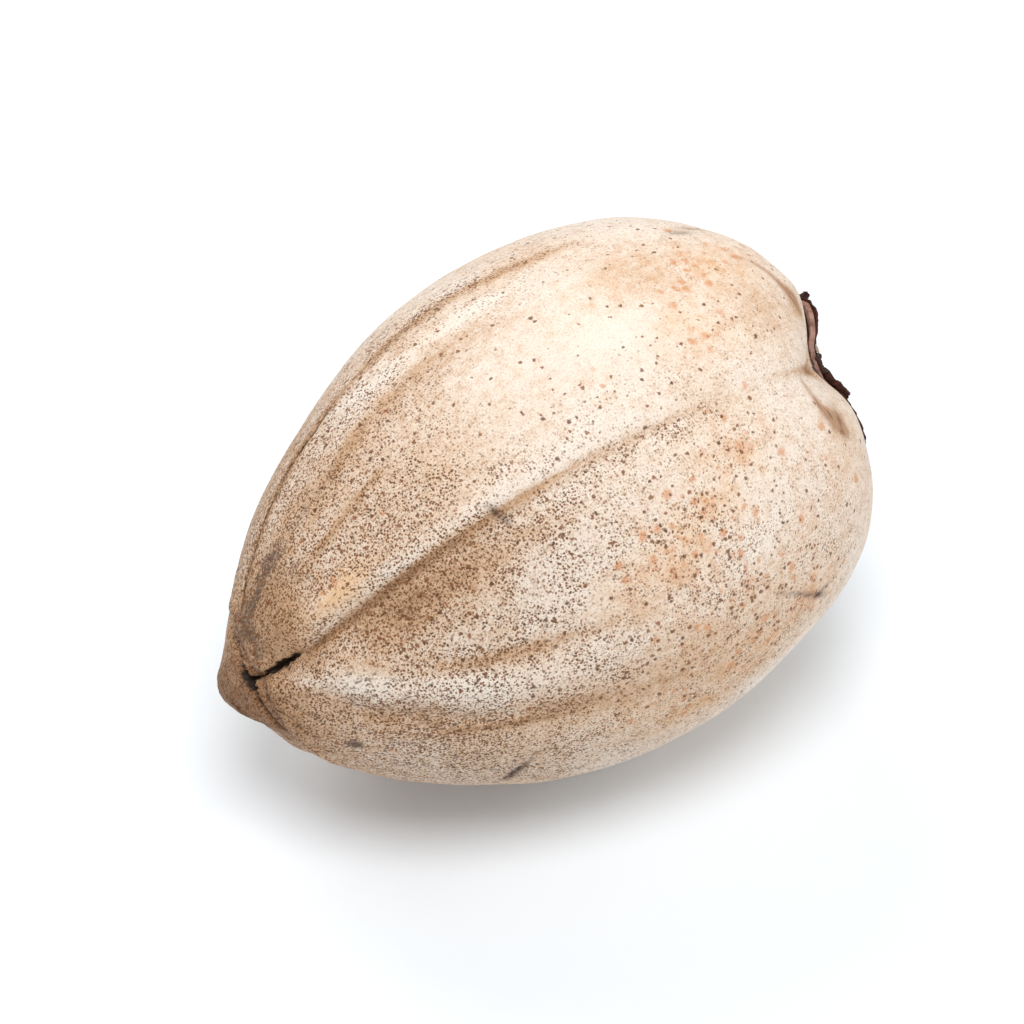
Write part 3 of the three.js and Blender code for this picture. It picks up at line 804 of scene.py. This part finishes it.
# From where to where in a pattern a tone comes in, and where two more follow, its least and most
skinSteps = {
    "tan": [0.1, 1.1],
    "brown": [0.8, 1.8],
    "warmPatches": [0.3, 0.65, 0.35, 1.0],
    "warmDrift": [0.4, 0.7, 0.0, 0.25],
    "rustHaze": [0.48, 0.7],
    "fan": [0.42, 0.53, 0.1, 1.0],
    "grime": [0.45, 1.3, 0.0, 0.85],
    "clusters": [0.3, 0.7, 0.55, 1.3],
    "pepper": [0.15, 0.85, 0.4, 0.95],
    "dust": [0.53, 0.64],
    "dustShown": [0.1, 1.0, 0.1, 0.5],
    "bruise": [0.3, 0.6, 0.6, 1.0],
    "streakPlace": [0.6, 1.3],
    "streak": [0.52, 0.62, 0.0, 0.55],
    "scar": [0.3, 0.7, 0.5, 1.0],
    "line": [0.2, 1.0, 0.0, 0.85],
    "crack": [0.1, 0.9, 0.0, 0.95],
    "rough": [0.3, 0.7, 0.55, 0.72],
}

# Spots as [cell width, smallest, largest, solid core, shaking scale, shaking], the shaking in metres,
# the other lengths in mm
speckleKinds = {
    "rust": [4.6, 2, 4.4, 0.3, 300.0, 0.003],
    "pepper": [0.9, 0.42, 0.95, 0.75, 1500.0, 0.0004],
    "blotch": [2.0, 0.5, 1.7, 0.65, 900.0, 0.0014],
    "dash": [0.62, 0.3, 0.6, 0.6, 0, 0],
}

skinForm = {
    "unevenTan": {"grain": 0.45, "drift": 0.5, "mottle": 0.9, "fleck": 1.0},
    "rustDensity": 1.8,
    "rustShown": 0.7,
    "fanMost": 0.9,
    "stainHeight": 3.0,
    "blotchDensity": 1.2,
    "blotchLeast": 0.1,
    "blotchShown": 0.88,
    "dashStretch": (0.009, 0.001, 0.001),
    "dashShown": 0.65,
    "crossStretch": (1100, 200, 200),
    "bruiseMost": 0.85,
    "specular": 0.35,
    "bumps": {"grain": 0.3, "fineGrain": 0.2, "mottle": 0.35, "fleck": 0.12},
    "pepperDip": 0.1,
    "grimeDip": 0.3,
    "bumpStrength": 0.6,
    "bumpDistance": 0.0006,
}


def stepped(tree, value, step):
    return smooth(tree, value, *skinSteps[step])


def skinTone(name):
    return colour(huskFinish[name])


def makePatterns(tree, place, fibre):
    ways = {"grain": fibre, "fineGrain": fibre, "crossGrain": scaled(tree, place, skinForm["crossStretch"])}
    return {name: cloud(tree, ways.get(name, place), *values) for name, values in skinPatterns.items()}


def baseSkin(tree, patterns):
    tanAmount = painted(tree, "tan")
    for name, strength in skinForm["unevenTan"].items():
        uneven = calc(tree, "MULTIPLY", calc(tree, "SUBTRACT", patterns[name], 0.5), strength)
        tanAmount = calc(tree, "ADD", tanAmount, uneven)
    warmth = times(tree, painted(tree, "warm"), stepped(tree, patterns["patches"], "warmPatches"))
    warmth = calc(tree, "ADD", warmth, stepped(tree, patterns["drift"], "warmDrift"), True)
    skin = blend(tree, warmth, skinTone("cream"), skinTone("creamWarm"))
    skin = blend(tree, stepped(tree, tanAmount, "tan"), skin, skinTone("tan"))
    return blend(tree, stepped(tree, tanAmount, "brown"), skin, skinTone("brown"))


def addOrange(tree, skin, place, patterns):
    rust = painted(tree, "rust")
    cells, _ = speckles(tree, place, "rust", calc(tree, "MULTIPLY", rust, skinForm["rustDensity"]))
    haze = times(tree, stepped(tree, patterns["patches"], "rustHaze"), rust)
    amount = calc(tree, "MULTIPLY", calc(tree, "MAXIMUM", cells, haze), skinForm["rustShown"], True)
    skin = blend(tree, amount, skin, skinTone("rustOrange"))
    fan = times(tree, painted(tree, "fan"), stepped(tree, patterns["fineGrain"], "fan"))
    return blend(tree, calc(tree, "MINIMUM", fan, skinForm["fanMost"]), skin, skinTone("fanOrange"))


def addGrime(tree, skin, patterns):
    stain = calc(tree, "MULTIPLY", calc(tree, "SUBTRACT", patterns["stain"], 0.5), skinForm["stainHeight"])
    amount = stepped(tree, calc(tree, "ADD", painted(tree, "grime"), stain), "grime")
    return blend(tree, amount, skin, skinTone("greyBrown")), amount


def addPepper(tree, skin, place, patterns):
    amount = times(tree, painted(tree, "pepper"), stepped(tree, patterns["clusters"], "clusters"))
    dust = times(tree, stepped(tree, patterns["dust"], "dust"), stepped(tree, amount, "dustShown"))
    skin = blend(tree, dust, skin, skinTone("pepperDark"))
    pepper, tone = speckles(tree, place, "pepper", amount)
    shown = times(tree, pepper, stepped(tree, amount, "pepper"))
    return blend(tree, shown, skin, blend(tree, tone, skinTone("pepperDark"), skinTone("blotchRed"))), shown


def addBlotches(tree, skin, place, fibre):
    density = calc(tree, "MULTIPLY", painted(tree, "blotch"), skinForm["blotchDensity"])
    density = calc(tree, "ADD", density, skinForm["blotchLeast"])
    blotch, tone = speckles(tree, place, "blotch", density)
    tone = blend(tree, tone, skinTone("blotchRed"), skinTone("blotchDark"))
    skin = blend(tree, calc(tree, "MULTIPLY", blotch, skinForm["blotchShown"]), skin, tone)
    dash, _ = speckles(tree, scaled(tree, fibre, skinForm["dashStretch"]), "dash", painted(tree, "dash"))
    return blend(tree, times(tree, dash, skinForm["dashShown"]), skin, skinTone("blotchDark"))


def addMarks(tree, skin, patterns):
    bruise = times(tree, painted(tree, "bruise"), stepped(tree, patterns["crossGrain"], "bruise"))
    skin = blend(tree, calc(tree, "MINIMUM", bruise, skinForm["bruiseMost"]), skin, skinTone("bruiseTan"))
    streaks = times(tree, stepped(tree, painted(tree, "bruise"), "streakPlace"),
                    stepped(tree, patterns["crossGrain"], "streak"))
    skin = blend(tree, streaks, skin, skinTone("blotchDark"))
    scar = times(tree, painted(tree, "scar"), stepped(tree, patterns["fineGrain"], "scar"))
    skin = blend(tree, scar, skin, skinTone("scarBrown"))
    # Painted shade: near black in the fine cracks and seams, then in the open cracks and the hollow past
    # the rim
    skin = blend(tree, stepped(tree, painted(tree, "fineCrackShade"), "line"), skin, skinTone("crackShadeBlack"))
    return blend(tree, stepped(tree, painted(tree, "crackShade"), "crack"), skin, skinTone("crackShadeBlack"))


def makeHuskMaterial():
    material, tree, shader = newMaterial("dry husk skin")
    place = addNode(tree, "ShaderNodeTexCoord").outputs["Object"]
    fibre = painted(tree, "fibre", "Vector")
    patterns = makePatterns(tree, place, fibre)
    skin = baseSkin(tree, patterns)
    skin = addOrange(tree, skin, place, patterns)
    skin, grime = addGrime(tree, skin, patterns)
    skin, pepper = addPepper(tree, skin, place, patterns)
    skin = addBlotches(tree, skin, place, fibre)
    skin = addMarks(tree, skin, patterns)
    tree.links.new(skin, shader.inputs["Base Color"])
    tree.links.new(stepped(tree, patterns["mottle"], "rough"), shader.inputs["Roughness"])
    shader.inputs["Specular IOR Level"].default_value = skinForm["specular"]
    height = 0.0
    for name, share in skinForm["bumps"].items():
        height = calc(tree, "ADD", height, calc(tree, "MULTIPLY", patterns[name], share))
    height = calc(tree, "SUBTRACT", height, calc(tree, "MULTIPLY", pepper, skinForm["pepperDip"]))
    height = calc(tree, "SUBTRACT", height, calc(tree, "MULTIPLY", grime, skinForm["grimeDip"]))
    addBump(tree, shader, height, skinForm)
    return material


paintHusk(huskPiece, huskPlaces, huskDepths)
huskPiece.data.materials.clear()
huskPiece.data.materials.append(makeHuskMaterial())
print("husk painted")


# The dried calyx in the hollow of the stem end

# Each tepal as its middle phi, half angle, where it starts, how far it reaches towards the rim,
# layer height in mm, lift of its end in mm, thickness in the middle and at the end in mm,
# raggedness and finish
tepals = {
    "outerTepalTop": [20, 40, 0.22, 0.97, 0.1, -1.1, 1.3, 2, 0.003, "outer"],
    "outerTepalFront": [140, 46, 0.22, 0.96, 0.1, 0.2, 1.2, 1.6, 0.01, "outer"],
    "outerTepalBack": [262, 46, 0.22, 0.95, 0.1, 0.2, 1.2, 1.6, 0.012, "outer"],
    "innerTepalFront": [82, 40, 0.22, 0.94, 1.5, 0, 0.9, 0.8, 0.02, "inner"],
    "innerTepalBelow": [202, 41, 0.22, 0.92, 1.6, 0.3, 0.9, 0.7, 0.025, "inner"],
    "innerTepalTop": [330, 40, 0.22, 0.94, 1.7, 0.2, 0.9, 0.7, 0.02, "inner"],
    "raggedTepal": [19, 24, 0.55, 0.962, 1.3, -0.3, 0.8, 0.8, 0.014, "inner"],
    "brokenPiece": [54, 10, 0.6, 0.98, 1.4, 1.7, 1.2, 1, 0.045, "inner"],
    "knobOnRim": [43, 4, 0.93, 1.025, 0.4, 0, 1.5, 1.4, 0.01, "outer"],
    "membrane": [37, 3, 0.9, 0.965, 1.1, -0.4, 0.3, 0.2, 0.006, "pale"],
    "peekingPiece": [14.5, 2, 0.88, 0.97, 1, 2, 0.8, 0.6, 0.03, "inner"],
}

calyxForm = {
    "gap": 0.6,
    "grooveSag": 8.3,
    "lift": [
        [0, 0], [10, 0.3], [15, 1.6], [18.5, 5], [23, 5.5], [31, 4.8], [41, 1.4], [47, 0],
        [140, 0.8], [220, 1.2], [300, 0.8], [335, 0.2], [360, 0],
    ],
    "columns": 64,
    "rows": 44,
    "narrowing": 0.04,
    "cornerCut": 0.2,
    "cornerPower": 3.5,
    "edgeWaves": [[1.6, 1.2, 5], [5, 0.9, 6], [14, 0.6, 7]],
    "ripple": 0.5,
    "crease": 0.12,
    "tilt": 0.35,
    "thickEnd": [0.75, 0.97],
    "roundedShare": 0.28,
}

receptacleForm = {
    "profile": [
        [0, 3.6], [2.6, 3.8], [4.6, 3.5], [6.3, 4.4], [7.4, 5.9], [8.6, 6.1], [10.6, 5.3],
        [13, 4.2], [14.6, 3], [16, 1.4], [16.6, 0.4],
    ],
    "segments": 96,
    "rings": 64,
    "topShare": 0.75,
    "underside": 0.2,
    "lumps": [2.2, 0.55],
    "lumpsStart": [1, 8],
    "grains": [7, 0.3],
    "waves": [1.6, 0.07],
    "ripples": [6, 0.03],
}


def overHollow(share, phi, height):
    places = placesOn(1 - share * (1 - rimShare), phi)
    rest = np.maximum(huskRise(places), -calyxForm["grooveSag"]) + calyxForm["gap"] + height
    return places["at"] + places["out"] * rest[:, None]


def makeTepal(name, values):
    middle, halfAngle, start, reach, layer, lift, thickness, endThickness, ragged, finish = values
    deselectAll()
    columns, rows = calyxForm["columns"], calyxForm["rows"]
    bpy.ops.mesh.primitive_grid_add(x_subdivisions=columns, y_subdivisions=rows, size=2, location=(0, 0, 0))
    piece = bpy.context.object
    piece.name = name
    flat = readPoints(piece.data)
    across, outward = flat[:, 0], (flat[:, 1] + 1) / 2
    phi = middle + across * halfAngle * (1 - calyxForm["narrowing"] * outward)
    seed = middle / 10
    edge = np.stack([across * 3 + seed, np.zeros(len(across)), np.zeros(len(across))], -1)
    waves = calyxForm["edgeWaves"]
    uneven = ragged * sum(height * softNoise(edge * fineness, 1, key) for fineness, height, key in waves)
    corners = calyxForm["cornerCut"] * np.abs(across) ** calyxForm["cornerPower"]
    end = reach * (1 - corners) + uneven
    share = start + (end - start) * outward
    lifted = readTable(calyxForm["lift"], phi % 360) * share ** 4 + lift * outward ** 4
    ripple = softNoise(np.stack([across * 4 + seed, outward * 3, share], -1), 1, 8)
    ripple = ripple * calyxForm["ripple"] * outward
    creased = softNoise(np.stack([across * 16 + seed, outward * 1.4, share], -1), 1, 9)
    height = layer + lifted + ripple + calyxForm["crease"] * creased + calyxForm["tilt"] * across
    writePoints(piece.data, toRow(overHollow(share, phi, height)))
    group = piece.vertex_groups.new(name="thick")
    atEnd = ease(outward, *calyxForm["thickEnd"])
    weight = (thickness + (endThickness - thickness) * atEnd) / max(thickness, endThickness)
    for i, value in enumerate(weight):
        group.add([i], float(value), "REPLACE")
    paintValues(piece.data, "acrossTepal", across * halfAngle)
    paintValues(piece.data, "outward", outward)
    activate(piece)
    solid = piece.modifiers.new("thickness", "SOLIDIFY")
    solid.thickness = max(thickness, endThickness) * millimetre
    solid.offset = 1
    solid.vertex_group = "thick"
    bpy.ops.object.modifier_apply(modifier=solid.name)
    rounding = piece.modifiers.new("roundedEdge", "BEVEL")
    rounding.width = calyxForm["roundedShare"] * min(thickness, endThickness) * millimetre
    rounding.segments = 2
    rounding.limit_method = "ANGLE"
    rounding.angle_limit = math.radians(50)
    bpy.ops.object.modifier_apply(modifier=rounding.name)
    pointOutward(piece)
    piece.data.materials.append(calyxMaterials[finish])
    return piece


def makeReceptacle():
    form = receptacleForm
    deselectAll()
    bpy.ops.mesh.primitive_uv_sphere_add(
        segments=form["segments"], ring_count=form["rings"], radius=1, location=(0, 0, 0))
    piece = bpy.context.object
    piece.name = "receptacle"
    ball = readPoints(piece.data)
    fall = np.arccos(np.clip(ball[:, 2], -1, 1)) / math.pi
    phi = np.degrees(np.arctan2(ball[:, 1], ball[:, 0]))
    top = form["topShare"]
    onTop = fall < top
    widest = form["profile"][-1][0]
    radius = np.where(onTop, widest * fall / top, widest * (1 - fall) / (1 - top))
    turn = np.radians(phi)
    dial = np.stack([np.cos(turn), np.sin(turn), radius / 9], -1)
    (lumpSize, lumps), (grainSize, grains) = form["lumps"], form["grains"]
    (waveSize, waves), (rippleSize, ripples) = form["waves"], form["ripples"]
    height = lumps * softNoise(dial * lumpSize, 1, 11) * ease(radius, *form["lumpsStart"])
    height = readTable(form["profile"], radius) + height + grains * softNoise(dial * grainSize, 1, 12)
    height = np.where(onTop, height, form["underside"])
    uneven = waves * softNoise(dial * waveSize, 1, 13) + ripples * softNoise(dial * rippleSize, 1, 14)
    radius = radius * (1 + uneven)
    hollow = splineThrough(huskForm["meridian"], np.linspace(1, rimShare, 400))
    share = np.interp(radius, hollow[:, 1], np.linspace(0, 1, 400))
    writePoints(piece.data, toRow(overHollow(share, phi, height)))
    pointOutward(piece)
    paintValues(piece.data, "acrossTepal", phi)
    paintValues(piece.data, "outward", radius / widest)
    piece.data.materials.append(calyxMaterials["receptacle"])
    return piece


calyxFinish = {
    "outer": {"light": "a98474", "dark": "745045", "vein": "2a1812", "veins": 0.3, "shadedTo": 0.97},
    "inner": {"light": "55291a", "dark": "220f09", "vein": "0e0604", "veins": 1.1, "shadedTo": 0},
    "pale": {"light": "d9c9b8", "dark": "b59c86", "vein": "8f7460", "veins": 1.1, "shadedTo": 0},
    "receptacle": {"light": "8a6a50", "dark": "3f291c", "vein": "1d120c", "veins": 1.1, "shadedTo": 0},
}

calyxSkin = {
    "outwardScale": 3.0,
    "veins": [1.0, 4.0, 0.6],
    "mottle": [300.0, 4.0, 0.65],
    "veinShare": 0.6,
    "mottleShare": 0.4,
    "lightFrom": [0.35, 0.65],
    "veinFrom": [0.3, 0.42, 0.75, 0.0],
    "shadeWidth": 0.05,
    "shade": 0.9,
    "rough": [0.3, 0.7, 0.6, 0.85],
    "specular": 0.3,
    "veinBump": 0.7,
    "mottleBump": 0.4,
    "bumpStrength": 0.8,
    "bumpDistance": 0.0007,
}


def makeCalyxMaterial(name):
    finish = calyxFinish[name]
    material, tree, shader = newMaterial("dried calyx " + name)
    place = addNode(tree, "ShaderNodeTexCoord").outputs["Object"]
    across = calc(tree, "MULTIPLY", painted(tree, "acrossTepal"), finish["veins"])
    outward = painted(tree, "outward")
    upwards = calc(tree, "MULTIPLY", outward, calyxSkin["outwardScale"])
    way = addNode(tree, "ShaderNodeCombineXYZ", (), {"X": across, "Y": upwards}).outputs[0]
    veins = cloud(tree, way, *calyxSkin["veins"])
    mottle = cloud(tree, place, *calyxSkin["mottle"])
    veinTone = calc(tree, "MULTIPLY", veins, calyxSkin["veinShare"])
    tone = calc(tree, "ADD", veinTone, calc(tree, "MULTIPLY", mottle, calyxSkin["mottleShare"]))
    tone = smooth(tree, tone, *calyxSkin["lightFrom"])
    skin = blend(tree, tone, colour(finish["dark"]), colour(finish["light"]))
    skin = blend(tree, smooth(tree, veins, *calyxSkin["veinFrom"]), skin, colour(finish["vein"]))
    shadeEnd = finish["shadedTo"]
    shaded = smooth(tree, outward, shadeEnd - calyxSkin["shadeWidth"], shadeEnd, calyxSkin["shade"], 0.0)
    skin = blend(tree, shaded, skin, colour(finish["vein"]))
    tree.links.new(skin, shader.inputs["Base Color"])
    tree.links.new(smooth(tree, mottle, *calyxSkin["rough"]), shader.inputs["Roughness"])
    shader.inputs["Specular IOR Level"].default_value = calyxSkin["specular"]
    veinBump = calc(tree, "MULTIPLY", veins, calyxSkin["veinBump"])
    height = calc(tree, "ADD", veinBump, calc(tree, "MULTIPLY", mottle, calyxSkin["mottleBump"]))
    addBump(tree, shader, height, calyxSkin)
    return material


calyxMaterials = {name: makeCalyxMaterial(name) for name in calyxFinish}
calyxParts = [makeTepal(name, values) for name, values in tepals.items()] + [makeReceptacle()]
deselectAll()
for part in calyxParts:
    part.select_set(True)
bpy.context.view_layer.objects.active = calyxParts[0]
bpy.ops.object.join()
calyxPiece = bpy.context.object
calyxPiece.name = "driedCalyx"
calyxPiece.vertex_groups.clear()
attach(calyxPiece, "root")
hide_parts("calyx")
print("calyx made,", len(calyxPiece.data.polygons), "faces")


# Floor, light and camera

studio = {
    "floorSize": 6,
    "floorColour": (0.888, 0.933, 0.973, 1),
    "floorRoughness": 0.9,
    "skyStrength": 0.41,
    "keyPlace": [-0.25, -0.32, 1.1],
    "keySize": 0.5,
    "keyPower": 7.4,
    "sidePlace": [0.85, -0.65, 0.55],
    "sideSize": 0.9,
    "sidePower": 4.2,
    "backPlace": [0.1, 0.85, 0.8],
    "backSize": 1,
    "backPower": 6,
}

cameraView = {
    "azimuth": -37.644,
    "elevation": 45,
    "distance": 1,
    "lens": 100.94,
    "slideRight": -0.00707,
    "slideUp": 0.00477,
}


def makeStudio():
    deselectAll()
    bpy.ops.mesh.primitive_plane_add(size=studio["floorSize"], location=(0, 0, 0))
    floor = bpy.context.object
    floor.name = "paleFloor"
    material, _, shader = newMaterial("pale floor")
    shader.inputs["Base Color"].default_value = studio["floorColour"]
    shader.inputs["Roughness"].default_value = studio["floorRoughness"]
    floor.data.materials.append(material)
    world = bpy.data.worlds.new("studio")
    world.use_nodes = True
    sky = world.node_tree.nodes["Background"]
    sky.inputs["Color"].default_value = (1, 1, 1, 1)
    sky.inputs["Strength"].default_value = studio["skyStrength"]
    bpy.context.scene.world = world
    middle = Vector(lying["settle"]) * millimetre
    for name in ("key", "side", "back"):
        bpy.ops.object.light_add(type="AREA", location=studio[name + "Place"])
        light = bpy.context.object
        light.data.shape = "DISK"
        light.data.size = studio[name + "Size"]
        light.data.energy = studio[name + "Power"]
        light.rotation_mode = "QUATERNION"
        light.rotation_quaternion = (middle - light.location).to_track_quat("-Z", "Y")


def makeCamera():
    azimuth = math.radians(cameraView["azimuth"])
    elevation = math.radians(cameraView["elevation"])
    level = math.cos(elevation)
    back = Vector((math.sin(azimuth) * level, -math.cos(azimuth) * level, math.sin(elevation)))
    right = Vector((math.cos(azimuth), math.sin(azimuth), 0))
    up = back.cross(right)
    middle = Vector(lying["settle"]) * millimetre
    slide = right * cameraView["slideRight"] + up * cameraView["slideUp"]
    bpy.ops.object.camera_add(location=middle + back * cameraView["distance"] + slide)
    camera = bpy.context.object
    camera.data.lens = cameraView["lens"]
    camera.data.sensor_width = 36
    camera.rotation_mode = "QUATERNION"
    camera.rotation_quaternion = (-back).to_track_quat("-Z", "Y")
    bpy.context.scene.camera = camera


makeStudio()
makeCamera()
bpy.context.scene.view_settings.view_transform = "Standard"
print("studio ready")
